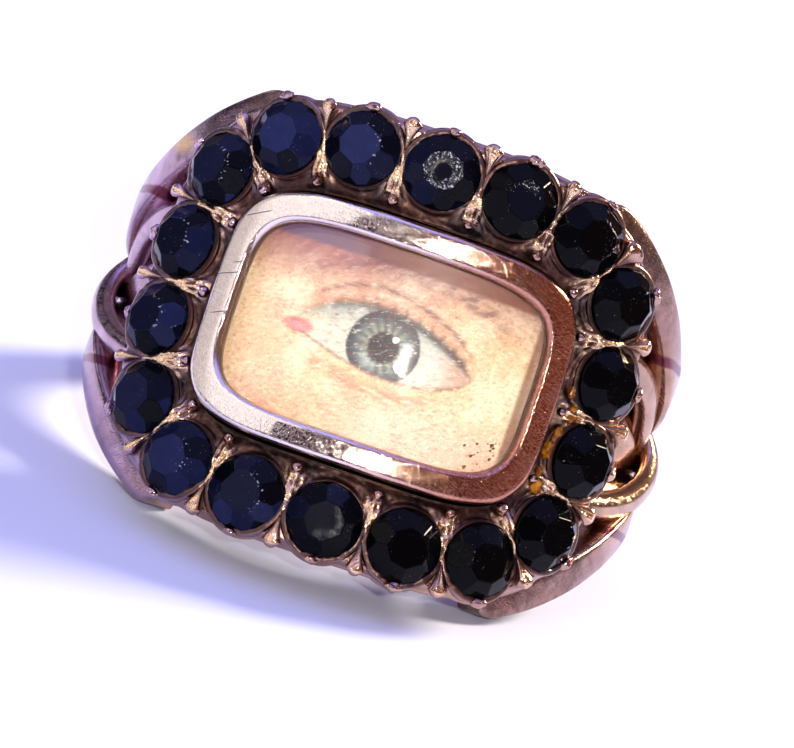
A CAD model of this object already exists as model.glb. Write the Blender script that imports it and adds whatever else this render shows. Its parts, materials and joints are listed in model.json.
import json
from math import atan2, cos, pi, radians, sin, sqrt

import bmesh
import bpy
import numpy as np
from mathutils import Matrix, Vector, noise


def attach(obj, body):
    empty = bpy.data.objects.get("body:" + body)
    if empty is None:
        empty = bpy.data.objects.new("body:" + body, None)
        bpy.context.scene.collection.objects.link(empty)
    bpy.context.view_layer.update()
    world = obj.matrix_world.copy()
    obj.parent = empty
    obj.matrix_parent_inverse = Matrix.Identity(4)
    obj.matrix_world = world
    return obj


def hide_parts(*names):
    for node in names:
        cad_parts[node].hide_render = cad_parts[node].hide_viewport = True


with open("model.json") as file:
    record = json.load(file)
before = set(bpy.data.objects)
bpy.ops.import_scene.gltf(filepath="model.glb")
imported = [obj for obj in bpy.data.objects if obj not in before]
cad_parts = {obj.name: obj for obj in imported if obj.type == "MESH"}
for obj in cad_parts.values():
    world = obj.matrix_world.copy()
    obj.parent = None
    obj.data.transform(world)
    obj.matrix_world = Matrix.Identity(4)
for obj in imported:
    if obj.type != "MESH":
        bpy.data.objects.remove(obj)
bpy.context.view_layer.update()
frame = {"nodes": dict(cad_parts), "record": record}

# The hoop and its shoulders. The band is a D-shaped strip of rose gold, bent round and soldered at each
# side to two flat outer straps and two half-round crossing wires, which carry the head. The straps' edges
# are worn, and reddish firestain shows along the seams.
MM = 0.001
hole = next(m for m in frame["record"]["mounts"] if m["name"] == "finger_hole")
hole_r = hole["dims"]["r_mm"]
rest_tilt = atan2(hole["axis"][1], hole["axis"][2])
# Everything is drawn in millimetres in the ring's own frame: the finger hole along Z, the head towards -Y
lay = Matrix.Translation(hole["pos_m"]) @ Matrix.Rotation(-rest_tilt, 4, "X") @ Matrix.Scale(MM, 4)
upright = lay.inverted()


def at(turn, along, r):
    """The point at a turn from the head's middle, in radians, a height along the finger and a radius."""
    return np.stack([r * np.sin(turn), -r * np.cos(turn), along + 0 * r * turn], -1)


def shown(name, data):
    """A new object in the scene, from its mesh, lamp or lens."""
    body = bpy.data.objects.new(name, data)
    bpy.context.scene.collection.objects.link(body)
    return body


def piece(name, points, faces, metal):
    """A smooth mesh from points in the ring's frame, laid down with the ring."""
    mesh = bpy.data.meshes.new(name)
    mesh.from_pydata([lay @ Vector(p) for p in points], [], faces)
    whole = bmesh.new()
    whole.from_mesh(mesh)
    bmesh.ops.recalc_face_normals(whole, faces=whole.faces[:])
    whole.to_mesh(mesh)
    whole.free()
    mesh.materials.append(metal)
    mesh.shade_smooth()
    return shown(name, mesh)


def keep_on(body, name, values):
    """Keeps a number from 0 to 1 on each of a piece's points."""
    body.data.attributes.new(name, "FLOAT", "POINT").data.foreach_set("value", np.clip(values, 0, 1))


def worn(body, levels):
    """Rounds a piece off with subdivision."""
    body.modifiers.new("worn", "SUBSURF").levels = levels
    shape = body.evaluated_get(bpy.context.evaluated_depsgraph_get())
    mesh = bpy.data.meshes.new_from_object(shape)
    body.modifiers.clear()
    body.data = mesh


def grid_faces(rows, cols, first=0):
    """Quads between rows of points that each run in a loop."""
    return [(first + i * cols + j, first + i * cols + (j + 1) % cols,
             first + (i + 1) * cols + (j + 1) % cols, first + (i + 1) * cols + j)
            for i in range(rows - 1) for j in range(cols)]


def capped(rows, cols, first=0):
    """The same with both ends closed."""
    last = first + (rows - 1) * cols
    ends = [tuple(range(first, first + cols))[::-1], tuple(range(last, last + cols))]
    return grid_faces(rows, cols, first) + ends


def blend(a, b, t):
    return a + (b - a) * t


def soft(low, high, x):
    """Rises smoothly from 0 at low to 1 at high."""
    t = np.clip((x - low) / (high - low), 0, 1)
    return t * t * (3 - 2 * t)


class Tone:
    """A number that varies over a surface, worked out by math nodes."""

    def __init__(self, tree, socket):
        self.tree, self.socket = tree, socket

    def made(self, what, *values):
        node = self.tree.nodes.new("ShaderNodeMath")
        node.operation = what
        for socket, value in zip(node.inputs, values):
            join(self.tree, socket, value)
        return Tone(self.tree, node.outputs[0])

    def __add__(self, other):
        return self.made("ADD", self, other)

    def __radd__(self, other):
        return self.made("ADD", other, self)

    def __sub__(self, other):
        return self.made("SUBTRACT", self, other)

    def __rsub__(self, other):
        return self.made("SUBTRACT", other, self)

    def __mul__(self, other):
        return self.made("MULTIPLY", self, other)

    def __rmul__(self, other):
        return self.made("MULTIPLY", other, self)

    def __truediv__(self, other):
        return self.made("DIVIDE", self, other)

    def __pow__(self, other):
        return self.made("POWER", self, other)

    def __abs__(self):
        return self.made("ABSOLUTE", self)

    def most(self, other):
        return self.made("MAXIMUM", self, other)

    def rise(self, low, high):
        """From 0 at low to 1 at high, smoothly; the other way round where low is the larger."""
        node = self.tree.nodes.new("ShaderNodeMapRange")
        node.interpolation_type = "SMOOTHSTEP"
        falls = float(low > high)
        for socket, value in zip(node.inputs[:5], (self, min(low, high), max(low, high), falls, 1 - falls)):
            join(self.tree, socket, value)
        return Tone(self.tree, node.outputs[0])


def join(tree, socket, value):
    """Sets a socket to a value, or links it to a tone or another socket."""
    if isinstance(value, Tone):
        tree.links.new(value.socket, socket)
    elif isinstance(value, bpy.types.NodeSocket):
        tree.links.new(value, socket)
    else:
        socket.default_value = value


def node_in(tree, kind, **inputs):
    """A new node with some of its inputs set or linked."""
    node = tree.nodes.new("ShaderNode" + kind)
    for name, value in inputs.items():
        join(tree, node.inputs[name], value)
    return node


def mixed(tree, first, second, share):
    """A colour between two colours."""
    node = tree.nodes.new("ShaderNodeMix")
    node.data_type = "RGBA"
    join(tree, node.inputs[0], share)
    for socket, colour in ((node.inputs[6], first), (node.inputs[7], second)):
        join(tree, socket, (*colour, 1.0) if isinstance(colour, tuple) else colour)
    return node.outputs[2]


def pigment(red, green, blue):
    """A colour as a paint chart gives it, from 0 to 255."""
    return tuple((v / 255) ** 2.2 for v in (red, green, blue))


class Finish:
    """A material being mixed: its tree, its shader and the ring's own coordinates in millimetres."""

    def __init__(self, name, **fixed):
        self.material = bpy.data.materials.new(name)
        self.material.use_nodes = True
        self.tree = self.material.node_tree
        self.shader = self.tree.nodes["Principled BSDF"]
        for socket, value in fixed.items():
            self.shader.inputs[socket.replace("_", " ")].default_value = value
        place = self.tree.nodes.new("ShaderNodeTexCoord").outputs["Object"]
        self.place = self.turned(place, hole["pos_m"], (-rest_tilt, 0, 0), (MM, MM, MM))
        split = self.tree.nodes.new("ShaderNodeSeparateXYZ")
        self.tree.links.new(self.place, split.inputs[0])
        self.x, self.y, self.z = (Tone(self.tree, s) for s in split.outputs)

    def turned(self, place, zero, turn, scale):
        """Coordinates in a frame with its own zero, turn and scale."""
        node = node_in(self.tree, "Mapping", Vector=place, Location=zero, Rotation=turn, Scale=scale)
        node.vector_type = "TEXTURE"
        return node.outputs["Vector"]

    def grain(self, per_mm, detail=3.0, rough=0.5, stretch=(1, 1, 1), turn=(0, 0, 0)):
        """Noise about 0.5, with a number of blots a millimetre, each stretched along the turned axes."""
        place = self.turned(self.place, (0, 0, 0), turn, stretch)
        node = node_in(self.tree, "TexNoise", Vector=place, Scale=per_mm, Detail=detail, Roughness=rough)
        return Tone(self.tree, node.outputs["Fac"])

    def scratches(self, per_mm, length, turn, width=0.06):
        """Fine lines in one direction, thin where the noise crosses its middle."""
        return abs(self.grain(per_mm, detail=1.0, stretch=(length, 1, 1), turn=turn) - 0.5).rise(width, 0.0)

    def mix(self, first, second, share):
        return mixed(self.tree, first, second, share)

    def mark(self, name):
        """A number kept on the mesh's points."""
        node = self.tree.nodes.new("ShaderNodeAttribute")
        node.attribute_name = name
        return Tone(self.tree, node.outputs["Fac"])

    def set(self, **sockets):
        for socket, value in sockets.items():
            join(self.tree, self.shader.inputs[socket.replace("_", " ")], value)

    def dent(self, height, depth_mm, strength=1.0):
        """Bump from a height between 0 and 1."""
        node = node_in(self.tree, "Bump", Strength=strength, Distance=depth_mm * MM, Height=height)
        join(self.tree, self.shader.inputs["Normal"], node.outputs["Normal"])


def distance(*steps):
    """How far a point is from another, from the steps between them."""
    return sum(step ** 2.0 for step in steps) ** 0.5


seam_z, glint_x, glint_z = 3.5, -10.05, 5.5


def rose_gold(name, dull=0.0, rough=0.2, rugged=0.0, patina=0.0, bright=(0.50, 0.32, 0.27)):
    """Worn rose gold. A dull place is browner and rougher, a rugged one has small pits, and grime is dark.
    Where the tools have crumpled the sheet like foil, it is bare and bright."""
    finish = Finish(name, Metallic=1.0)
    x, y, z, mix, grain = finish.x, finish.y, finish.z, finish.mix, finish.grain
    blotch = grain(0.7, detail=4.0)
    fine = grain(9.0, detail=4.0)
    cloud = grain(1.6, detail=5.0, rough=0.6)
    pitted = grain(5.0, detail=5.0, rough=0.65)
    scratch = finish.scratches(5.0, 9.0, (0.3, 0.5, 0.9))
    scratch = scratch.most(finish.scratches(6.0, 8.0, (0.9, -0.4, -0.6)))
    grime = finish.mark("grime")
    foil = finish.mark("foil")
    creased = grain(5.5, detail=2.5, rough=0.6)
    redder = tuple(v * share for v, share in zip(bright, (0.95, 0.80, 0.74)))
    # A dark red seam crosses each strap, and the straps are browned near the head, least at the lower left
    seam = abs(abs(z) - seam_z - 0.3 * (blotch - 0.5)).rise(0.24, 0.12)
    seam = seam * abs(x).rise(9.4, 9.9) * y.rise(-8.5, -7.5)
    tarnish = (dull * blotch.rise(0.3, 0.65)).most(seam * 0.6)
    lower_left = x.rise(-4.0, -7.0) * z.rise(-2.0, -4.0)
    by_head = abs(x).rise(10.9, 9.9) * (1.0 - 0.6 * lower_left)
    browned = patina * abs(z).rise(3.6, 4.6) * by_head
    tarnish = tarnish.most(browned * (0.55 + 0.45 * cloud.rise(0.30, 0.65)))
    # The left end is lilac with firestain, and the crossing wires at the right are a yellower gold
    metal = mix(bright, redder, blotch.rise(0.35, 0.7))
    metal = mix(metal, (0.60, 0.42, 0.56), 0.75 * x.rise(-4.0, -9.0))
    yellow = 0.7 * x.rise(6.0, 10.0) * abs(z).rise(4.4, 3.4)
    metal = mix(metal, (0.66, 0.42, 0.25), yellow)
    brown = mix((0.26, 0.16, 0.13), (0.10, 0.065, 0.055), cloud.rise(0.35, 0.7))
    metal = mix(metal, brown, tarnish)
    # One rubbed place on the upper left strap has stayed bright
    glint = distance(x - glint_x, z - glint_z).rise(0.6, 0.15)
    metal = mix(metal, (0.72, 0.46, 0.18), patina * glint)
    metal = mix(metal, (0.17, 0.035, 0.06), seam * 0.9)
    bare = mix(metal, (0.98, 0.68, 0.38), foil * 0.85)
    old_dirt = mix((0.035, 0.022, 0.020), (0.075, 0.034, 0.027), blotch.rise(0.35, 0.6))
    finish.set(
        Base_Color=mix(bare, old_dirt, grime * (0.8 + 0.4 * pitted)),
        Roughness=rough + 0.08 * fine + 0.18 * tarnish + 0.25 * grime - 0.05 * scratch - 0.05 * foil,
    )
    finish.dent(0.25 * fine + 0.5 * scratch + rugged * pitted + 15.0 * foil * creased, 0.008, 0.6)
    return finish.material


head_t, ribbon_drop = 3.5, 1.5
girdle_r = hole_r + head_t
band_w, band_t, neck_w, neck_t = 3.0, 1.3, 4.6, 2.4
strap_w, strap_t, cross_w, cross_t, cross_z = 1.45, 1.5, 1.25, 0.85, 3.1
end_turn, band_start = radians(100), radians(82)
tip_turn, side_turn = radians(36.4), radians(45.1)
tip_z = 7.95
hoop_gold = rose_gold("hoop_gold", dull=0.45, rough=0.09, patina=0.85)


def nearness(turn):
    return (abs(turn - pi) / (pi - band_start)) ** 1.6


def band_half_w(turn):
    return blend(band_w, neck_w, nearness(turn)) / 2


def band_thick(turn):
    return blend(band_t, neck_t, nearness(turn))


end_z = band_half_w(end_turn) - strap_w / 2
sunk_r = hole_r + 0.94 * band_thick(end_turn)
neck_face_r = hole_r + neck_t


def outer_path(side, end, steps=64):
    """From the rounded tongue under the head's corner to the band."""
    path = []
    for t in np.arange(steps + 1) / steps:
        near = 1 - t + 0.25 * sin(2 * pi * t) / (2 * pi) - 0.03 * sin(pi * t)
        tongue = sqrt(1 - (1 - min(1, (t + 0.012) / 0.085)) ** 2)
        face = blend(girdle_r - ribbon_drop, neck_face_r, min(1, t / 0.7)) - (neck_face_r - sunk_r) * t ** 5
        path.append((side * blend(tip_turn, end_turn, t), end * blend(end_z, tip_z, near),
                     blend(girdle_r - ribbon_drop - strap_t, hole_r, t * t), face, strap_w * tongue))
    return path


def cross_path(side, end, lift, steps=64):
    """A quarter of an oval, from the head's side to the band's far edge."""
    path = []
    for t in np.arange(steps + 1) / steps:
        face = blend(girdle_r - ribbon_drop - 0.2, sunk_r, t)
        face += (lift + neck_face_r - sunk_r) * sin(pi * t * t)
        turn = side * blend(side_turn, end_turn, sin(pi / 2 * t))
        along = end * blend(-cross_z, end_z, 1 - cos(pi / 2 * t))
        path.append((turn, along, face - cross_t, face, cross_w))
    return path


def band_path(steps=140):
    """From one neck round the back to the other, thin where it passes under the straps."""
    path = []
    for turn in np.linspace(band_start, 2 * pi - band_start, steps + 1):
        from_end = min(turn - band_start, 2 * pi - band_start - turn)
        ramp = min(1, blend(0.3, 1, from_end / radians(18)))
        path.append((turn, 0.0, hole_r, hole_r + band_thick(turn) * ramp, 2 * band_half_w(turn)))
    return path


# Each section point is (across, out), as shares of the strip's width and thickness
half_flat = [(-0.45, 0), (-0.49, 0.02), (-0.5, 0.07), (-0.5, 0.80), (-0.494, 0.88),
             (-0.475, 0.94), (-0.44, 0.98), (-0.38, 1.0), (-0.2, 1.01)]
flat_section = half_flat + [(0, 1.012)] + [(-a, b) for a, b in half_flat[::-1]]
round_section = [(-0.4, 0)] + [(-0.5 * cos(a), 0.22 + 0.78 * sin(a))
                               for a in np.linspace(0, pi, 17)] + [(0.4, 0)]
band_section = [(-0.46, 0), (-0.5, 0.1), (-0.5, 0.45)] + [
    (-0.5 * cos(a), 0.5 + 0.5 * sin(a) ** 0.8) for a in np.linspace(0.2, pi - 0.2, 17)] + [
    (0.5, 0.45), (0.5, 0.1), (0.46, 0)]

hoop_points, hoop_faces = [], []
strips = [(band_path(), band_section, 1)]
for side in (-1, 1):
    for end in (-1, 1):
        strips.append((outer_path(side, end), flat_section, side * end))
        strips.append((cross_path(side, end, end * cross_t / 2), round_section, side * end))
for path, section, facing in strips:
    base = len(hoop_points)
    for i, (turn, along, r_in, r_out, wide) in enumerate(path):
        before, after = path[max(0, i - 1)], path[min(len(path) - 1, i + 1)]
        out = at(turn, 0.0, 1.0)
        across_way = np.cross(out, at(*after[:3]) - at(*before[:3])) * facing
        across_way /= np.linalg.norm(across_way)
        low = at(turn, along, r_in)
        for share, rise in section:
            point = low + across_way * share * wide + out * rise * (r_out - r_in)
            # The hand's small waves in the strip
            wave = Vector(point * 0.55) + Vector((0, 0, facing))
            hoop_points.append(point + out * 0.025 * noise.noise(wave) * (rise > 0.1))
    hoop_faces += capped(len(path), len(section), base)
hoop = piece("hoop", hoop_points, hoop_faces, hoop_gold)
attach(hoop, "root")
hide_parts("mount")

# The head's case. It is raised from rose gold sheet as one curved box with a closed back and a wall that
# swells round the stones. Its rough floor between the stones and the window is crumpled by the tools, and
# keeps old dirt in its hollows.
crown_h, girdle_h, pavilion_h = 0.72, 0.12, 1.1
collet_wall, floor_drop, recess_drop, foot_inset = 0.24, 0.25, 1.37, 0.65


def stone_place(number):
    """A stone's place, from its node: length round the head, height along the finger, and radius."""
    corners = [upright @ v.co for v in frame["nodes"][f"stone_{number:02d}"].data.vertices]
    middle = sum(corners, Vector()) / len(corners)
    turn = atan2(middle.x, -middle.y)
    way = Vector(at(turn, 0.0, 1.0))
    radius = max(((c - middle) - way * (c - middle).dot(way)).length for c in corners)
    return girdle_r * turn, middle.z, radius


places = [stone_place(number) for number in range(1, 19)]
stone_r = max(place[2] for place in places)
centres = np.array([place[:2] for place in places])
half_l, half_w = centres.max(0)
half_l += 0.01
border_square, frame_square = 3.7, 4.5
frame_l, frame_w, recess_gap = 14.4, 9.6, 0.12


def cushion(long, wide, square, turn):
    reach = (np.abs(np.cos(turn)) ** square + np.abs(np.sin(turn)) ** square) ** (-1 / square)
    return np.stack([long * reach * np.cos(turn), wide * reach * np.sin(turn)], -1)


def even_turns(long, wide, square, count):
    """The turns that share a cushion outline into even steps."""
    turns = np.linspace(0, 2 * np.pi, 4001)
    steps = np.linalg.norm(np.diff(cushion(long, wide, square, turns), axis=0), axis=1)
    far = np.r_[0, np.cumsum(steps)]
    return np.interp(np.arange(count) / count * far[-1], far, turns)


def on_head(flat, r):
    """Wraps a flat point (length round the head, height along the finger) at a radius."""
    return at(flat[..., 0] / girdle_r, flat[..., 1], r)


def crumple(points, per_mm, seed=0.0):
    """Smooth noise from -1 to 1 at flat points."""
    spots = [Vector((p[0] * per_mm, p[1] * per_mm, seed)) for p in points.reshape(-1, 2)]
    return np.array([noise.noise(spot) for spot in spots]).reshape(points.shape[:-1])


cols = 720
turns = even_turns(half_l, half_w, border_square, cols)
spine = cushion(half_l, half_w, border_square, turns)
slope = np.roll(spine, -1, 0) - np.roll(spine, 1, 0)
outward = np.stack([slope[:, 1], -slope[:, 0]], -1)
outward /= np.linalg.norm(outward, axis=1)[:, None]


def depth_to(long, wide, square):
    """How far inwards from the stones' line an outline lies."""
    low, high = np.zeros(cols), np.full(cols, 5.0)
    for _ in range(30):
        middle = (low + high) / 2
        p = spine - outward * middle[:, None]
        inside = (np.abs(p[:, 0] / long) ** square + np.abs(p[:, 1] / wide) ** square) < 1
        low, high = np.where(inside, low, middle), np.where(inside, middle, high)
    return (low + high) / 2


collet_r = stone_r + collet_wall
d_in = depth_to(frame_l / 2 + recess_gap, frame_w / 2 + recess_gap, frame_square)
to_stone = np.linalg.norm(spine[:, None] - centres[None], axis=2).min(1)
scallop = np.sqrt(np.maximum(collet_r ** 2 - to_stone ** 2, 0.3))
d_out = np.maximum(collet_r - 0.20, scallop)
floor_r = girdle_r - floor_drop
recess_r = girdle_r - recess_drop
foot_long, foot_wide = half_l + collet_r - foot_inset, half_w + collet_r - foot_inset

rows, grimes, foils = [], [], {}
for r in (recess_r, recess_r + 0.4, recess_r + 0.8, floor_r - 0.22, floor_r - 0.12):
    rows.append(on_head(spine - outward * d_in[:, None], r))
    grimes.append(np.full(cols, 0.9))
across = 60
for i in range(across + 1):
    d = blend(-d_in + 0.03, d_out, i / across)
    flat = spine + outward * d[:, None]
    near = np.sort(np.linalg.norm(flat[:, None] - centres[None], axis=2), axis=1)
    gap, apart = near[:, 0] - stone_r, near[:, 1] - near[:, 0]
    outer, inner = soft(-0.1, 0.7, d), soft(0.0, -0.7, d)
    notch = soft(0.8, 0.0, apart)
    # Outside, the sheet is turned up round the stones and rolls over to the wall
    rolled = girdle_r + 0.10 - 0.30 * soft(-0.35, 0.0, d - d_out) + 0.05 * notch
    rolled += 0.02 * crumple(flat, 1.7, 5.0)
    # Inside, creased tongues run from each notch down to the window, and the floor between is pitted
    crease = 1 - 2 * np.abs(crumple(flat, 2.3, 1.0))
    flute = np.cos(apart * 15.0 + 3.0 * crumple(flat, 1.1, 4.0))
    tongue = soft(1.1, 0.1, apart) * soft(-d_in + 0.15, -d_in + 0.8, d)
    pits = 0.8 * crumple(flat, 1.6) + 0.35 * crumple(flat, 4.6, 2.0)
    edge_lip = soft(0.20, 0.03, gap)
    floor = floor_r - 0.14 + tongue * (0.34 + 0.06 * flute + 0.09 * crease) + 0.09 * pits + 0.16 * edge_lip
    floor -= 0.08 * soft(0.35, 0.0, d + d_in)
    seat = soft(0.02, -0.3, gap)
    rows.append(on_head(flat, floor * (1 - outer) + rolled * outer - 0.75 * seat))
    bare = tongue * soft(-0.5, 0.6, 0.6 * flute + crease + 0.5 * crumple(flat, 0.9, 11.0))
    inside_grime = 0.97 - 0.20 * soft(0.2, 0.9, pits) - 1.1 * bare
    hollow = np.maximum(0.75 * soft(0.10, 0.0, gap), 0.9 * notch * soft(1.45, 1.1, d))
    grimes.append(blend(hollow, inside_grime, np.clip(1 - outer, 0, 1)))
    foils[len(rows) - 1] = bare * (1 - outer)
edge = spine + outward * d_out[:, None]
foot = cushion(foot_long, foot_wide, border_square, np.arctan2(spine[:, 1] / half_w, spine[:, 0] / half_l))
wall_steps = 20
for i in range(1, wall_steps + 1):
    t = i / wall_steps
    r = blend(girdle_r - 0.26, hole_r + 0.12, t)
    tuck = soft(0.0, 0.8, t)
    flat = edge * (1 - tuck) + foot * tuck
    ripple = 0.02 * crumple(flat + r, 1.6, 7.0)
    rows.append(on_head(flat + outward * ripple[:, None], r))
    grimes.append(0.35 * soft(0.0, 0.4, t) + 0.2 * crumple(flat + r, 1.1, 3.0))
for share in (0.985, 0.9, 0.78, 0.66, 0.54, 0.42, 0.3, 0.18, 0.08):
    rows.append(on_head(foot * share, hole_r + (0.02 if share < 0.98 else 0.03)))
    grimes.append(np.full(cols, 0.15))
case_gold = rose_gold("case_gold", dull=0.30, rough=0.12, rugged=0.5, bright=(0.50, 0.34, 0.28))
case = piece("head_case", np.concatenate(rows), capped(len(rows), cols), case_gold)
keep_on(case, "grime", np.concatenate(grimes))
keep_on(case, "foil", np.concatenate([foils.get(i, np.zeros(cols)) for i in range(len(rows))]))
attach(case, "root")
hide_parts("mount")

# The collets' lips. The sheet's thin edge is rubbed over each stone's girdle: higher and ragged outside,
# and low and dirty on the side of the window.
lip_gold = rose_gold("lip_gold", dull=0.45, rough=0.09, bright=(0.42, 0.29, 0.27))
lip_points, lip_faces, lip_grimes, outs = [], [], [], []
lip_steps = 96
# Each section point is (out from the stone's edge, height as a share of the lip)
lip_section = [(0.16, -0.9), (0.15, 0.25), (0.11, 0.75), (0.05, 0.98), (-0.02, 1.02), (-0.065, 0.95),
               (-0.07, 0.82), (-0.01, 0.5), (0.03, 0.0), (0.035, -0.9)]
for number in range(18):
    nearest = np.argmin(np.linalg.norm(spine - centres[number], axis=1))
    outs.append(outward[nearest])
    turn0 = atan2(outs[-1][1], outs[-1][0])
    base = len(lip_points)
    for i in range(lip_steps):
        a = 2 * pi * i / lip_steps
        way = np.array([cos(turn0 + a), sin(turn0 + a)])
        outer = soft(-0.35, 0.35, cos(a))
        ragged = noise.noise(Vector((number * 3.1, 3.3 * cos(a), 3.3 * sin(a))))
        ragged += 0.7 * noise.noise(Vector((number * 1.7, 9.0 * cos(a), 9.0 * sin(a))))
        height = blend(0.05, 0.25, outer) + 0.06 * ragged * outer
        for gap, share in lip_section:
            over = gap * blend(0.22, 1.0, outer)
            if gap < 0:
                over = gap * blend(0.1, 1.5, outer) * (1 + 0.9 * ragged)
            reach = stone_r + 0.015 + over
            r = girdle_r + girdle_h + (height - girdle_h) * share if share > 0 else floor_r + 0.28 * share
            lip_points.append(on_head(centres[number] + way * reach, r))
            inner_grime = 1.0 - 0.5 * (share > 0.9) * (ragged > 0.2)
            lip_grimes.append(blend(inner_grime, 0.05 + 0.75 * (gap < 0.08), outer))
    ring = lip_steps * len(lip_section)
    lip_faces += [tuple(base + (v - base) % ring for v in face)
                  for face in grid_faces(lip_steps + 1, len(lip_section), base)]
lips = piece("collet_lips", lip_points, lip_faces, lip_gold)
keep_on(lips, "grime", lip_grimes)
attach(lips, "root")
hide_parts("mount")

# The claws and grains. Between each two stones a thick tongue of the sheet is pushed inwards over both of
# them, round outside and drawn to a point. A smaller thumb of metal holds the middle of each stone's outer
# edge, and a ball grain is soldered on the floor inside each pair of stones.
claw_gold = rose_gold("claw_gold", dull=0.20, rough=0.07, bright=(0.50, 0.33, 0.28))
rng = np.random.default_rng(7)
grain_r = 0.21


def lump(points, faces, flat, r, tangent, sizes, rings=12, sides=18, seed=0.0, uneven=0.12):
    """A hand-made ball on the head: its sizes run along a tangent, across it and outwards."""
    base = len(points)
    centre = on_head(flat, r)
    out = on_head(flat, r + 1) - centre
    tip = on_head(flat + 0.01 * tangent, r) - centre
    tip /= np.linalg.norm(tip)
    other = np.cross(out, tip)
    for i in range(rings + 1):
        b = pi * (i / rings - 0.5)
        for j in range(sides):
            a = 2 * pi * j / sides
            way = np.array([cos(a) * cos(b), sin(a) * cos(b), sin(b)])
            swell = 1 + uneven * noise.noise(Vector(way * 1.7) + Vector((seed, 0, seed)))
            way = way * sizes * swell
            points.append(centre + tip * way[0] + other * way[1] + out * way[2])
    faces += capped(rings + 1, sides, base)


# The claw's line, from the wall up and inwards: distance out from between the stones, height over the
# girdles, half width and how strongly the pusher has fluted it
claw_line = [(1.12, -1.60, 0.16, 0), (1.34, -1.05, 0.17, 0), (1.47, -0.52, 0.18, 0), (1.58, -0.10, 0.18, 0),
             (1.65, 0.16, 0.19, 0), (1.66, 0.34, 0.24, 0), (1.60, 0.48, 0.31, 0.2), (1.47, 0.56, 0.37, 0.8),
             (1.32, 0.57, 0.38, 1), (1.17, 0.53, 0.34, 1), (1.01, 0.46, 0.25, 1), (0.85, 0.39, 0.17, 0.8),
             (0.68, 0.33, 0.12, 0.5), (0.52, 0.27, 0.08, 0.3), (0.38, 0.21, 0.04, 0)]
claw_sides = 20
claw_points, claw_faces, claw_foils, claw_grimes, ball_points, ball_faces = [], [], [], [], [], []
for number in range(18):
    here, there = centres[number], centres[(number + 1) % 18]
    middle = (here + there) / 2
    along_way = (there - here) / np.linalg.norm(there - here)
    out = np.array([-along_way[1], along_way[0]])
    if out @ middle < 0:
        out, along_way = -out, -along_way
    wide_ear = number == 5
    wider = 1.5 if wide_ear else blend(0.92, 1.18, rng.random())
    fluted = rng.random() > 0.45
    crooked = blend(-0.10, 0.10, rng.random())
    # Those at the left end are smaller, and the wide one between stones 6 and 7 is hardly fluted
    size = 1 - 0.32 * soft(3.0, 6.5, -middle[0])
    base = len(claw_points)
    for k, (d, rise, half, fold) in enumerate(claw_line):
        before, after = claw_line[max(0, k - 1)], claw_line[min(len(claw_line) - 1, k + 1)]
        step = np.array([after[0] - before[0], after[1] - before[1]])
        up = np.array([step[1], -step[0]]) / np.linalg.norm(step)
        for j in range(claw_sides):
            a = 2 * pi * j / claw_sides
            w, h = cos(a), sin(a)
            depth = half * (0.85 if h > 0 else 0.7) * size
            scoop = fold * max(h, 0) * max(0, 1 - (w / 0.58) ** 2) * (0.2 if wide_ear else 1.0)
            ridge = 0.05 * fold * max(h, 0) * cos(3.5 * pi * w + number) * fluted
            lift = depth * (h - 1) + ridge - 0.09 * scoop
            shift = along_way * (w * half * wider * size + crooked * (d - 0.4) * 0.5)
            flat = middle + out * (d + up[0] * lift) + shift
            claw_points.append(on_head(flat, girdle_r + rise + up[1] * lift))
            claw_foils.append(min(1, 1.6 * scoop))
            claw_grimes.append(0.85 * soft(1.15, 0.85, d) * (1 - scoop))
    claw_faces += capped(len(claw_line), claw_sides, base)
    tangent = np.array([-outs[number][1], outs[number][0]])
    thumb = np.array([0.30, 0.19, 0.21]) * blend(0.85, 1.2, rng.random())
    hold = centres[number] + outs[number] * (stone_r + 0.08)
    lump(ball_points, ball_faces, hold, girdle_r + 0.22, tangent, thumb, seed=number + 20, uneven=0.3)
    inward = middle - out * (collet_r - grain_r + 0.06) + along_way * blend(-0.10, 0.10, rng.random())
    size = grain_r * blend(0.85, 1.15, rng.random())
    lump(ball_points, ball_faces, inward, floor_r + 0.10, tangent, np.array([size] * 3), seed=number + 40)
claws = piece("claws", claw_points, claw_faces, claw_gold)
keep_on(claws, "foil", claw_foils)
keep_on(claws, "grime", claw_grimes)
worn(claws, 1)
balls = piece("thumbs_and_grains", ball_points, ball_faces, claw_gold)
for part in (claws, balls):
    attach(part, "root")
    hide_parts("mount")

# The stones. They are black glass, cut by hand with a flat table, eight broad facets round it and eight
# small ones at the girdle, all a little uneven. The left-hand ones are of a bluer glass, dust sits on them
# all, and three tables are worn rough and grey.
table_r, top_h = 0.80, crown_h + girdle_h


def from_table(finish, number):
    """Steps to the right and along the finger from the middle of a stone's table, and the distance."""
    middle = on_head(centres[number - 1], girdle_r + top_h)
    steps = [tone - float(v) for tone, v in zip((finish.x, finish.y, finish.z), middle)]
    return steps[0], steps[2], distance(*steps)


glass = Finish("black_glass", IOR=1.5, Specular_IOR_Level=0.07)
smear = glass.grain(2.2, detail=3.0)
dust = glass.grain(24.0, detail=2.0).rise(0.71, 0.75) * smear.rise(0.48, 0.6)
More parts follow.
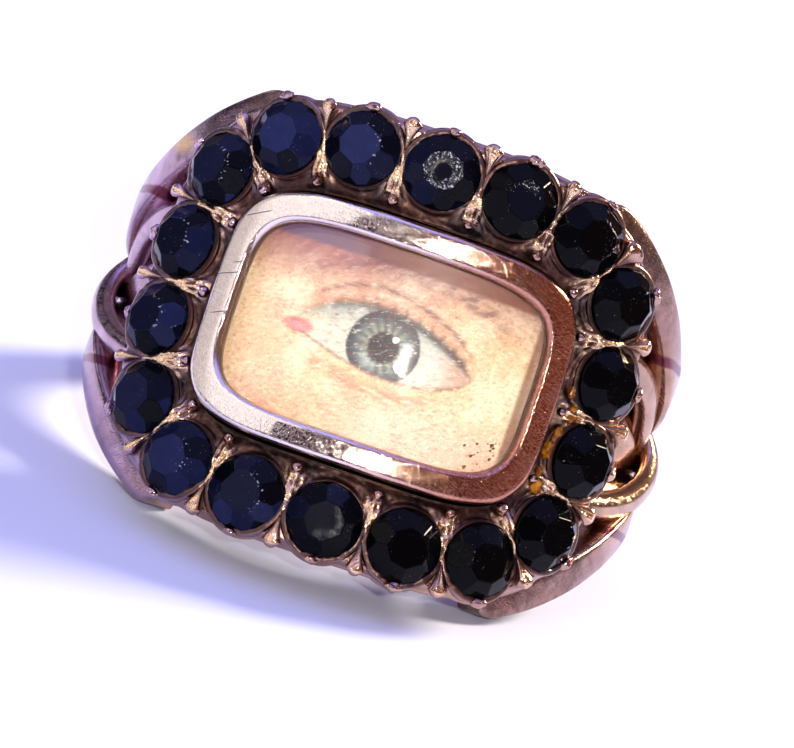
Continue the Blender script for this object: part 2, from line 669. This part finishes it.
# Rows of small bright chips run along the right-hand edges of some tables
for number in (1, 3, 6, 7, 10, 14, 15, 17, 18):
    rightwards, along, away = from_table(glass, number)
    edge_chips = glass.grain(9.0, detail=1.0, rough=0.4).rise(0.64, 0.70)
    edge_chips = edge_chips * away.rise(0.66, 0.74) * away.rise(0.94, 0.84)
    dust = dust.most(edge_chips * (rightwards * 0.95 + along * 0.3).rise(0.25, 0.5))
bluer = glass.x.rise(2.5, -2.5) * (0.02 + 0.98 * glass.mark("tint")) * (0.7 + 0.6 * smear)
clean = glass.mix((0.0010, 0.0010, 0.0015), (0.015, 0.021, 0.078), bluer)
glass.set(
    Base_Color=glass.mix(clean, (0.45, 0.45, 0.5), dust * 0.7),
    Roughness=0.035 + 0.03 * smear.rise(0.45, 0.7) + 0.5 * dust,
)
waves = glass.grain(1.3, detail=0.0)
glass.dent(waves + 0.05 * glass.scratches(4.0, 9.0, (0.4, 0.2, 1.1), 0.03), 0.05, 0.3)
# How blue the left-hand stones' tables are
blue_tables = {1: 0.30, 2: 1.0, 3: 0.95, 14: 0.25, 15: 0.80, 16: 0.4, 17: 0.2, 18: 0.12}
pitted = Finish("worn_table", IOR=1.5, Specular_IOR_Level=0.20)
ring = None
# Each table is worn most towards one side of its rim: stone, that side as a turn, where the wear starts
# across it, and how strong it is
table_wear = ((4, 1.0, -1.2, 0.85), (5, 1.57, -0.05, 0.75), (13, -0.4, -0.3, 0.15))
for number, side, worn_from, strength in table_wear:
    rightwards, along, away = from_table(pitted, number)
    sideways = rightwards * cos(side) + along * sin(side)
    worn_ring = away.rise(0.18, 0.58) * away.rise(1.2, 0.9)
    worn_ring = worn_ring * sideways.rise(worn_from, worn_from + 0.5) * strength
    ring = worn_ring if ring is None else ring.most(worn_ring)
pits = pitted.grain(13.0, detail=3.0, rough=0.6)
ring = ring * (0.45 + 0.55 * pitted.grain(1.6, detail=2.0).rise(0.36, 0.55))
chips = (pits + 0.16 * ring).rise(0.70, 0.74) * ring.rise(0.02, 0.3)
pitted.set(
    Base_Color=pitted.mix((0.003, 0.004, 0.010), (0.60, 0.60, 0.66), chips * 0.85),
    Roughness=0.10 + 0.3 * chips,
)
pitted.dent(pits * ring, 0.03, 1.0)


def cut_away(stone, height, r, turn, lean):
    """Grinds one facet through a point at a height and radius, leaning from level."""
    way = Vector((cos(turn), sin(turn), 0))
    normal = way * sin(lean) + Vector((0, 0, 1)) * cos(lean)
    everything = stone.verts[:] + stone.edges[:] + stone.faces[:]
    through = way * r + Vector((0, 0, height))
    ground = bmesh.ops.bisect_plane(stone, geom=everything, dist=1e-5, plane_co=through, plane_no=normal,
                                    clear_outer=True)
    edges = [e for e in ground["geom_cut"] if isinstance(e, bmesh.types.BMEdge)]
    bmesh.ops.contextual_create(stone, geom=edges)


eighth = pi / 4
table_flat = table_r * cos(eighth / 2)
main_lean = atan2(top_h - girdle_h, stone_r - table_flat + 0.02)
break_lean = radians(56.5)
blank_r, blank_h = stone_r - 0.01, 2.4
culet_r = 0.42
for number in range(1, 19):
    stone = bmesh.new()
    bmesh.ops.create_cone(stone, cap_ends=True, segments=64, radius1=blank_r, radius2=blank_r,
                          depth=blank_h)
    spin = rng.random() * 2 * pi
    cut_away(stone, top_h - 0.01, 0, spin, radians(blend(0.5, 3.0, rng.random())))
    for k in range(8):
        jitter = blend(-0.05, 0.05, rng.random())
        reach = table_flat * (1 + blend(-0.06, 0.05, rng.random()))
        cut_away(stone, top_h, reach, spin + (k + jitter) * eighth, main_lean)
    for k in range(8):
        jitter = blend(-0.06, 0.06, rng.random())
        reach = stone_r - 0.02 + 0.02 * rng.random()
        cut_away(stone, girdle_h, reach, spin + (k + 0.5 + jitter) * eighth, break_lean)
    for k in range(8):
        cut_away(stone, -pavilion_h, culet_r, k * eighth, pi - atan2(pavilion_h, stone_r - 0.45))
    flats = [f for f in stone.faces if f.calc_center_median().z > top_h - 0.1]
    marked = max(flats, key=lambda f: f.calc_area()).calc_center_median().copy()
    tint = stone.faces.layers.float.new("tint")
    for face in stone.faces:
        is_table = face.calc_center_median().z > top_h - 0.1 and face.calc_area() > 0.8
        blue = rng.random()
        face[tint] = blue_tables.get(number, 0.2) if is_table else blend(0.0, 0.75, blue ** 3)
    sharp = [e for e in stone.edges if e.calc_face_angle(0) > radians(9)]
    bmesh.ops.bevel(stone, geom=sharp, offset=0.035, segments=3, profile=0.5, affect="EDGES")
    round_len, along, _ = places[number - 1]
    seated = Matrix.Rotation(round_len / girdle_r, 4, "Z") @ Matrix.Translation((0, -girdle_r, along))
    seated = lay @ seated @ Matrix.Rotation(pi / 2, 4, "X")
    stone.transform(seated)
    mesh = bpy.data.meshes.new(f"black_stone_{number:02d}")
    stone.to_mesh(mesh)
    stone.free()
    mesh.materials.append(glass.material)
    if number in [wear[0] for wear in table_wear]:
        mesh.materials.append(pitted.material)
        table = min(mesh.polygons, key=lambda face: (face.center - seated @ marked).length)
        table.material_index = 1
    body = shown(mesh.name, mesh)
    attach(body, "root")
    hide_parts(f"stone_{number:02d}")

# The window frame. It is a flat-faced rim of rose gold, bent from thick wire and polished, with softened
# edges, that drops into the head over the miniature. Wear has left fine scratches and a few nicks.
polish = Finish("polished_gold", Metallic=1.0)
rubbed = polish.grain(0.8, detail=2.0)
hairs = polish.scratches(7.0, 14.0, (0.2, 0.9, 0.5), 0.035)
hairs = hairs.most(polish.scratches(8.0, 16.0, (0.1, -0.3, 1.2), 0.03))
hairs = hairs.most(polish.scratches(5.0, 10.0, (1.1, 0.2, -0.7), 0.02))
dense = polish.scratches(14.0, 7.0, (0.0, 1.1, 0.2), 0.05)
dense = dense.most(polish.scratches(12.0, 9.0, (0.0, 0.4, 0.4), 0.04))
specks = polish.grain(16.0, detail=3.0).rise(0.66, 0.72)
copper = polish.x.rise(-1.5, 4.5)
radius = (polish.x * polish.x + polish.y * polish.y) ** 0.5
nick = polish.z * 0.0
# Each nick in the left bar is (height along the finger, how it slants, its left end)
nicks = ((3.30, 0.5, -6.1), (1.36, 0.35, -6.0), (0.94, 0.35, -6.4), (-0.62, 0.4, -6.2))
left_bar_x = -6.2
for height, slant, left_end in nicks:
    line = abs(polish.z - height - slant * (polish.x - left_bar_x)).rise(0.028, 0.008)
    nick = nick.most(line * abs(polish.x - left_end).rise(0.5, 0.3))
# The rim is paler at the left and copper red at the right, and dark with dirt down its sides
sheen = polish.mix((0.80, 0.70, 0.66), (0.46, 0.18, 0.12), copper)
sheen = polish.mix(sheen, (0.86, 0.55, 0.42), 0.45 * copper * (dense * rubbed.rise(0.4, 0.6)).most(hairs))
dark = (specks * 0.35).most(nick * 0.9).most(0.92 * radius.rise(girdle_r + 0.24, girdle_r + 0.05))
worn_rough = 0.08 * hairs * rubbed.rise(0.3, 0.6)
polish.set(
    Base_Color=polish.mix(sheen, (0.07, 0.04, 0.035), dark),
    Roughness=0.03 + 0.03 * rubbed + worn_rough + 0.2 * specks + 0.08 * copper * dense,
)
polish.dent(0.35 * hairs + 0.7 * rubbed - 2.0 * nick + 0.5 * copper * dense, 0.006, 0.6)
face_w, face_rise, lip_t, lip_w = 1.1, 0.3, 0.55, 0.4
frame_long, frame_wide = frame_l / 2, frame_w / 2
face_r = girdle_r + face_rise
inside_edge = face_w - lip_w
frame_h = face_r - recess_r - 0.04
# The section, from under the outer edge, over the face and down inside: inset from the outer edge, and
# depth under the face
frame_section = [(0.0, frame_h), (0.0, 0.9), (0.0, 0.34), (0.012, 0.20), (0.045, 0.11), (0.095, 0.052),
                 (0.155, 0.022), (0.22, 0.010), (0.30, 0.006), (0.60, 0.002), (0.82, 0.001), (0.90, 0.004),
                 (0.96, 0.02), (1.02, 0.07), (1.065, 0.14), (1.09, 0.22), (1.10, 0.34), (1.08, lip_t),
                 (inside_edge, lip_t + 0.005), (inside_edge, frame_h)]
rim_count = 360
rim_turns = even_turns(frame_long, frame_wide, frame_square, rim_count)
rim_points = []
for inset, under in frame_section:
    flat = cushion(frame_long - inset, frame_wide - inset, frame_square, rim_turns)
    rim_points.append(on_head(flat, face_r - under + 0.012 * crumple(flat, 0.7, 9.0)))
rim_faces = grid_faces(len(frame_section), rim_count)
last = (len(frame_section) - 1) * rim_count
rim_faces += [(last + j, last + (j + 1) % rim_count, (j + 1) % rim_count, j) for j in range(rim_count)]
rim = piece("frame_rim", np.concatenate(rim_points), rim_faces, polish.material)
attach(rim, "root")
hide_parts("window_frame")

# The miniature. It is watercolour on a thin leaf of ivory, bent to the head: a calm eye in grey-blue, laid
# in thin warm washes and then stippled and hatched with a fine brush. Its edges have browned.
ivory = Finish("painted_ivory", Roughness=0.5)
leaf_r = recess_r + 0.55
s = ivory.x.made("ARCTAN2", ivory.x, ivory.y * -1.0) * leaf_r
z = ivory.z
wash = ivory.grain(0.45, detail=6.0, rough=0.62)
blot = ivory.grain(1.3, detail=6.0, rough=0.62)
stipple = ivory.grain(11.0, detail=2.0)
# Brush strokes in three directions, about a quarter of a millimetre apart
hatch_up = ivory.grain(4.2, detail=2.0, stretch=(6, 1, 1), turn=(0, -0.95, 0))
hatch_down = ivory.grain(3.8, detail=2.0, stretch=(7, 1, 1), turn=(0, 0.45, 0))
hatch_level = ivory.grain(5.0, detail=2.0, stretch=(5, 1, 1), turn=(0, 0.1, 0))
s_hand = s + 0.16 * (blot - 0.5)
z_hand = z + 0.16 * (wash - 0.5) + 0.07 * (stipple - 0.5) + 0.06 * (hatch_level - 0.5)
eye_half, iris_r, pupil_r, iris_z = 3.6, 1.40, 0.58, 0.14
u = s_hand / eye_half
v = z_hand + 0.15
bow = 1.0 - u * u
lifted, sagged = u + 0.16 * bow, u - 0.16 * bow
upper = (1.0 - lifted * lifted).most(0.0) ** 0.75 * 1.46
lower = (1.0 - sagged * sagged).most(0.0) ** 0.85 * -0.98
over_lid, under_lid = v - upper, lower - v
in_eye = over_lid.rise(0.07, -0.05) * under_lid.rise(0.07, -0.05) * abs(u).rise(1.0, 0.96)
iris_far = distance(s_hand, v - iris_z)


def brushed(paint, *layers):
    """Lays colours of the paint chart over the paint, each as strong as its share."""
    for colour, share in layers:
        paint = ivory.mix(paint, pigment(*colour), share)
    return paint


# The skin: a peach wash, rosy and brown above, cream below, with strokes over it
skin = ivory.mix(pigment(244, 220, 182), pigment(228, 184, 140), wash.rise(0.36, 0.60))
skin = brushed(skin, ((212, 138, 112), blot.rise(0.45, 0.70) * s.rise(4.0, 0.5) * 0.5))
brown_top = z.rise(1.2, 3.6) * s.rise(5.0, -3.0) * (0.25 + 0.75 * hatch_up.rise(0.3, 0.62))
skin = brushed(skin, ((140, 84, 74), brown_top))
upper_right = z.rise(0.6, 3.2) * s.rise(-2.0, 3.0) * hatch_down.rise(0.38, 0.64)
skin = brushed(
    skin,
    ((176, 110, 82), upper_right * 0.5),
    ((234, 188, 164), z.rise(-1.0, -3.2) * s.rise(-3.5, 2.0) * 0.85),
)
lower_left = z.rise(-1.3, -3.4) * s.rise(-1.0, -4.5) * hatch_down.rise(0.34, 0.6)
skin = brushed(
    skin,
    ((218, 146, 118), lower_left * 0.8),
    ((232, 200, 152), s.rise(-3.9, -5.6) * 0.55),
    ((150, 78, 58), stipple.rise(0.54, 0.74) * blot.rise(0.40, 0.6) * 0.45),
    ((252, 240, 214), stipple.rise(0.44, 0.26) * 0.35),
)
lid_fold = (v - upper - 0.10).rise(0.85, 0.1) * over_lid.rise(-0.05, 0.15) * abs(u).rise(1.04, 0.7)
skin = brushed(skin, ((168, 104, 84), lid_fold * 0.5))
crease = abs(over_lid - 0.62 - 0.16 * bow).rise(0.24, 0.0) * abs(u - 0.05).rise(1.0, 0.72)
skin = brushed(skin, ((96, 62, 56), crease * (0.25 + 0.75 * hatch_level.rise(0.3, 0.6)) * 0.8))
pouch = abs(under_lid - 0.62).rise(0.40, 0.0) * abs(u).rise(1.0, 0.45)
skin = brushed(skin, ((190, 118, 92), pouch * hatch_level.rise(0.30, 0.62) * 0.7))
brow = abs(z - 3.15 + 0.075 * (s - 0.4) ** 2.0).rise(0.60, 0.05) * s.rise(-4.2, -2.4) * s.rise(5.4, 3.0)
brow_hair = ivory.grain(3.6, detail=3.0, stretch=(3.2, 1, 1), turn=(0, -0.35, 0))
skin = brushed(skin, ((92, 62, 50), brow * brow_hair.rise(0.40, 0.60) * 0.75))

# The eyeball: a warm white, shaded under the lid, and the iris with its rays, ring, pupil and lights
lid_shade = over_lid.rise(-0.95, 0.0) * (0.55 + 0.5 * blot)
white = ivory.mix(pigment(216, 212, 190), pigment(140, 150, 146), lid_shade)
white = brushed(
    white,
    ((220, 200, 146), abs(u).rise(0.55, 0.95) * 0.6),
    ((176, 132, 116), u.rise(0.50, 0.85) * 0.7),
    ((140, 146, 136), hatch_down.rise(0.52, 0.7) * 0.4),
)
turn_round = s.made("ARCTAN2", v - iris_z, s_hand)
spokes = turn_round * 17.0 + 7.0 * (blot - 0.5)
rays = spokes.made("SINE", spokes) * 0.5 + 0.5
ray_light = rays * iris_far.rise(iris_r, 0.45) * (0.5 + 0.8 * stipple)
iris = ivory.mix(pigment(78, 90, 90), pigment(152, 158, 142), ray_light)
iris = brushed(
    iris,
    ((150, 138, 104), iris_far.rise(0.95, 0.62) * hatch_down.rise(0.4, 0.65) * 0.5),
    ((40, 50, 58), iris_far.rise(iris_r - 0.50, iris_r - 0.04) * 0.85),
    ((34, 38, 44), over_lid.rise(-0.75, -0.05) * 0.8),
    ((16, 17, 26), iris_far.rise(pupil_r + 0.10, pupil_r - 0.06)),
)
glint = distance(s - 0.36, v - 0.55).rise(0.16, 0.10)
low_light = distance(s + 0.40, v + 0.42).rise(0.50, 0.1) * iris_far.rise(pupil_r, pupil_r + 0.2)
iris = brushed(
    iris,
    ((240, 244, 246), glint * 0.9),
    ((182, 192, 186), low_light * 0.6),
)
eyeball = ivory.mix(white, iris, iris_far.rise(iris_r + 0.06, iris_r - 0.06))
duct = distance((u + 0.93) * 3.0, (v + 0.03) * 1.8)
paint = ivory.mix(skin, eyeball, in_eye)
paint = brushed(
    paint,
    ((206, 70, 92), duct.rise(0.66, 0.34) * (0.62 + 0.5 * (stipple - 0.3))),
    ((232, 150, 150), (duct - 0.12).rise(0.22, 0.02) * 0.6),
)

# The lids' lines and the lashes, drawn last with the point of the brush
lid_line = abs(over_lid - 0.02).rise(0.30, 0.02) * abs(u).rise(1.04, 0.80)
lid_line = lid_line * (0.35 + 0.65 * u.rise(-0.9, 0.1))
paint = brushed(paint, ((52, 50, 50), lid_line * (0.75 + 0.35 * hatch_level)))
fan = s.made("ARCTAN2", s_hand - 0.3, v + 2.0)
strokes = fan * 40.0 + 9.0 * (blot - 0.5)
lash = strokes.made("SINE", strokes).rise(0.1, 0.95)
lash = lash * over_lid.rise(0.60, 0.05) * over_lid.rise(-0.05, 0.05)
paint = brushed(paint, ((72, 62, 58), lash * u.rise(-0.75, 0.0) * u.rise(1.05, 0.92) * 0.7))
low_line = abs(under_lid).rise(0.13, 0.0) * abs(u).rise(1.0, 0.8)
paint = brushed(paint, ((132, 88, 74), low_line * 0.65 * (0.4 + hatch_level)))
low_lash = strokes.made("COSINE", strokes * 0.9).rise(0.5, 0.98)
low_lash = low_lash * under_lid.rise(0.30, 0.04) * under_lid.rise(-0.03, 0.03)
paint = brushed(paint, ((110, 84, 72), low_lash * u.rise(-0.3, 0.1) * u.rise(1.0, 0.88) * 0.55))
hair_crack = ivory.scratches(1.5, 9.0, (0, 0.7, 0), 0.010)
hair_crack = hair_crack.most(ivory.scratches(1.2, 9.0, (0, -0.35, 0), 0.008))
paint = brushed(
    paint,
    ((255, 246, 226), hair_crack * wash.rise(0.50, 0.58) * 0.10),
    ((120, 76, 50), ivory.grain(6.0, detail=4.0).rise(0.66, 0.72) * 0.5),
)
rim_far = (abs(s) / 6.3) ** 5.0 + (abs(z) / 3.9) ** 5.0
paint = brushed(paint, ((128, 82, 44), rim_far.rise(0.60, 1.0) * (0.40 + 0.5 * blot)))
# The ivory's own grain shows through, and old varnish lies over everything, browner along the top
fibre = ivory.grain(8.0, detail=4.0, rough=0.7, stretch=(2.6, 1, 1), turn=(0, -0.25, 0))
paint = brushed(
    paint,
    ((138, 84, 66), fibre.rise(0.50, 0.68) * 0.42),
    ((255, 246, 226), fibre.rise(0.46, 0.30) * 0.45),
    ((106, 64, 76), 0.06 + 0.52 * z.rise(1.2, 3.4)),
    ((158, 84, 92), z.rise(0.6, 3.0) * s.rise(1.5, -5.0) * (0.30 + 0.4 * fibre)),
)
# The frame's shadow along the top turns from violet to brown
edge_shadow = ivory.mix(pigment(96, 74, 104), pigment(104, 56, 44), s.rise(-4.0, 0.0))
paint = ivory.mix(paint, edge_shadow, z.rise(2.92, 3.12) * 0.88)
paint = brushed(paint, ((104, 56, 44), s.rise(5.42, 5.62) * 0.75))
ivory.set(Base_Color=paint, Roughness=0.42 + 0.2 * blot)
ivory.dent(0.5 * stipple + 0.5 * hatch_down, 0.012, 0.5)


def sheet_of(name, long, wide, r_low, r_high, crown, metal, around=200, inward=14):
    """A curved sheet with a cushion outline, closed all round and domed in the middle."""
    outline = cushion(long, wide, frame_square, even_turns(long, wide, frame_square, around))
    shares = [1 - 0.998 * k / inward for k in range(inward + 1)]
    dome = [(share, crown * (1 - share ** 2)) for share in shares]
    layers = [on_head(outline * share, r_low + rise) for share, rise in dome][::-1]
    layers.append(on_head(outline, blend(r_low, r_high, 0.5)))
    layers.append(on_head(outline * 0.998, r_high - 0.01))
    layers += [on_head(outline * share * 0.995, r_high + rise) for share, rise in dome]
    return piece(name, np.concatenate(layers), capped(len(layers), around), metal)


seat_gap = 0.05
inside_long, inside_wide = frame_long - inside_edge - seat_gap, frame_wide - inside_edge - seat_gap
leaf_low, leaf_high = recess_r + seat_gap, leaf_r - 0.02
leaf = sheet_of("painted_leaf", inside_long, inside_wide, leaf_low, leaf_high, 0.0, ivory.material)
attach(leaf, "root")
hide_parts("miniature")

# The crystal. A clear glass cover, ground to the head's curve and crowned a little, is held down by the
# frame's lip. It has a few fine scratches, and crumbs of dirt have crept under its lower right corner.
crystal = Finish("crystal_glass", Transmission_Weight=1.0, IOR=1.46, Roughness=0.03,
                 Base_Color=(0.98, 0.985, 0.99, 1))
fine_scratches = crystal.scratches(3.0, 14.0, (0.3, 0.5, 0.2), 0.012)
crystal.dent(fine_scratches * crystal.grain(0.5).rise(0.5, 0.65), 0.0015, 0.3)
# The lamps' light goes straight through the glass to the miniature
rays_of = crystal.tree.nodes.new("ShaderNodeLightPath")
clear_way = crystal.tree.nodes.new("ShaderNodeBsdfTransparent")
pass_lamps = crystal.tree.nodes.new("ShaderNodeMixShader")
crystal.tree.links.new(rays_of.outputs["Is Shadow Ray"], pass_lamps.inputs[0])
crystal.tree.links.new(crystal.shader.outputs[0], pass_lamps.inputs[1])
crystal.tree.links.new(clear_way.outputs[0], pass_lamps.inputs[2])
crystal.tree.links.new(pass_lamps.outputs[0], crystal.tree.nodes["Material Output"].inputs["Surface"])
pane_low, pane_high, pane_crown = recess_r + 0.59, face_r - lip_t - seat_gap, 0.28
pane = sheet_of("crystal_pane", inside_long, inside_wide, pane_low, pane_high, pane_crown, crystal.material)
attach(pane, "root")
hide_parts("crystal")

# Old glue and dirt. Somebody has glued stones 8 to 10 back in, and the amber glue has set in beads on the
# floor beside them. Brown crumbs lie under the crystal's lower right corner.
amber = Finish("amber_glue", Roughness=0.12, IOR=1.5, Transmission_Weight=0.35)
cloudy = amber.grain(2.5, detail=4.0)
amber.set(Base_Color=amber.mix(pigment(240, 156, 30), pigment(150, 82, 14), cloudy.rise(0.35, 0.6)))
amber.dent(cloudy, 0.05, 0.8)
glue_points, glue_faces = [], []
# Each bead is (the stone it lies by, counted from 0, how far on to the next one, how far inwards, its size)
beads = ((7, 0.5, 1.10, 0.34), (7, 0.22, 1.34, 0.22), (7, 0.78, 1.36, 0.26), (8, 0.05, 1.52, 0.24),
         (8, 0.5, 1.25, 0.26), (7, 0.5, 0.72, 0.24), (8, 0.30, 1.50, 0.16), (7, 0.95, 1.58, 0.20))
for first, along_share, inwards, size in beads:
    spot = blend(centres[first], centres[first + 1], along_share) - outs[first] * inwards
    bead = np.array([size * 1.2, size * 0.85, 0.20])
    lump(glue_points, glue_faces, spot, floor_r + 0.06, np.array([0.0, 1.0]), bead,
         seed=first + size * 9, uneven=0.6)
glue = piece("glue", glue_points, glue_faces, amber.material)
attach(glue, "root")

dirt = Finish("brown_dirt", Roughness=0.7)
dirt.set(Base_Color=dirt.mix(pigment(150, 98, 56), pigment(74, 46, 28), dirt.grain(9.0).rise(0.4, 0.6)))
dirt_points, dirt_faces = [], []
crumb_count = 26
for _ in range(crumb_count):
    spot = np.array([blend(4.3, 5.75, rng.random() ** 0.7), blend(-3.45, -2.0, rng.random() ** 1.5)])
    size = blend(0.02, 0.06, rng.random() ** 2)
    crumb = np.array([size * 1.5, size, 0.03])
    lump(dirt_points, dirt_faces, spot, leaf_r, np.array([0.8, 0.6]), crumb, rings=6, sides=8,
         seed=size * 90, uneven=0.7)
crumbs = piece("dirt_crumbs", dirt_points, dirt_faces, dirt.material)
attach(crumbs, "root")

# The floor and the light. The ring lies on a plain pale surface in a studio, with a lilac ceiling, a soft
# window on the left and a dark warm room on the right. A low warm sun behind it at the right casts the
# shadows, and a small lamp above the lens glints on the curved front.
floor_finish = Finish("plain_floor", Base_Color=(0.70, 0.77, 1.0, 1), Roughness=0.9)
bpy.ops.mesh.primitive_plane_add(size=4.0, location=(0, 0, 0))
floor = bpy.context.object
floor.name = "floor"
floor.data.materials.append(floor_finish.material)

world = bpy.data.worlds.new("studio")
bpy.context.scene.world = world
world.use_nodes = True
sky = world.node_tree
split = sky.nodes.new("ShaderNodeSeparateXYZ")
sky.links.new(sky.nodes.new("ShaderNodeTexCoord").outputs["Generated"], split.inputs[0])
sky_x, sky_y, sky_z = (Tone(sky, socket) for socket in split.outputs)


def patch(turn, height, inner, outer):
    """A soft round patch of the room, at degrees to the right of the lens's side and above the floor."""
    a, b = radians(turn), radians(height)
    facing = sky_x * (sin(a) * cos(b)) + sky_y * (-cos(a) * cos(b))
    facing = facing + sky_z * sin(b)
    return facing.rise(cos(radians(outer)), cos(radians(inner)))


room = mixed(sky, (0.24, 0.21, 0.28), (0.15, 0.085, 0.08), sky_x.rise(-0.60, 0.25))
room = mixed(sky, room, (0.60, 0.60, 1.45), sky_z.rise(0.62, 0.90))
# Each patch of the room is (colour, turn, height, where it is full, where it ends)
patches = (
    ((0.74, 0.68, 0.66), -74, 20, 12, 22),  # a grey wall at the left
    ((1.40, 1.33, 1.36), -46, 30, 19, 24),  # the soft window
    ((0.050, 0.015, 0.042), -21, 20, 8, 9.5),  # two dark violet curtains, left of the lens and over it
    ((0.050, 0.015, 0.032), -2, 20, 8.5, 10),
    ((0.04, 0.03, 0.04), -128, 14, 20, 28),  # a dark corner far to the left, with a small window
    ((1.7, 1.6, 1.75), -126, 22, 7, 10),
    ((0.34, 0.17, 0.12), 72, 20, 6, 24),  # warm wood on the right, with a warm lamp beyond it
    ((2.4, 1.5, 0.85), 112, 26, 5, 9),
    ((0.06, 0.04, 0.05), -78, 44, 6, 12),  # a dark beam high on the left, and a warm lamp by it
    ((5.0, 3.5, 1.9), -62, 50, 3, 8),
    ((2.6, 2.1, 1.6), 12, 22, 1, 4))  # a pale gleam on the right of the curtains
for colour, turn, height, inner, outer in patches:
    room = mixed(sky, room, colour, patch(turn, height, inner, outer))
sky.links.new(room, sky.nodes["Background"].inputs["Color"])
sky.nodes["Background"].inputs["Strength"].default_value = 1.0


def lamp(name, place, wide, tall, watts, colour, aim=(0, 0, 0.009)):
    """A soft light that faces a point."""
    data = bpy.data.lights.new(name, "AREA")
    data.shape, data.size, data.size_y, data.energy, data.color = "ELLIPSE", wide, tall, watts, colour
    body = shown(name, data)
    body.location = place
    body.rotation_euler = (Vector(aim) - Vector(place)).to_track_quat("-Z", "Y").to_euler()


key = bpy.data.lights.new("key_light", "SUN")
key.energy, key.angle, key.color = 6.0, radians(16), (1.0, 0.86, 0.66)
key_light = shown("key_light", key)
shining = Vector((-0.32, -0.22, -0.22))
key_light.rotation_euler = shining.to_track_quat("-Z", "Y").to_euler()
lamp("front_lamp", (0.056, -0.386, 0.172), 0.032, 0.014, 0.80, (1.0, 0.95, 0.86))

# The camera, at the photo's place: a little below square to the head and turned, well above the floor
eye_far, eye_turn, eye_down, roll = 0.200, radians(0.74), radians(-3.5), radians(18.48)
aim = lay @ Vector((0.812, -12.0, -0.801))
lift_up = rest_tilt + eye_down
level = cos(lift_up)
back = Vector((sin(eye_turn) * level, -cos(eye_turn) * level, sin(lift_up)))
level_right = (-back).cross(Vector((0, 0, 1))).normalized()
level_up = level_right.cross(-back)
right = level_right * cos(roll) + level_up * sin(roll)
upward = level_up * cos(roll) - level_right * sin(roll)
lens = bpy.data.cameras.new("lens")
lens.sensor_width, lens.lens = 36.0, 240.88
lens.clip_start, lens.clip_end = 0.01, 10.0
camera = shown("camera", lens)
facing = Matrix((right, upward, back)).transposed().to_4x4()
camera.matrix_world = Matrix.Translation(aim + back * eye_far) @ facing
bpy.context.scene.camera = camera
bpy.context.scene.view_settings.view_transform = "Standard"
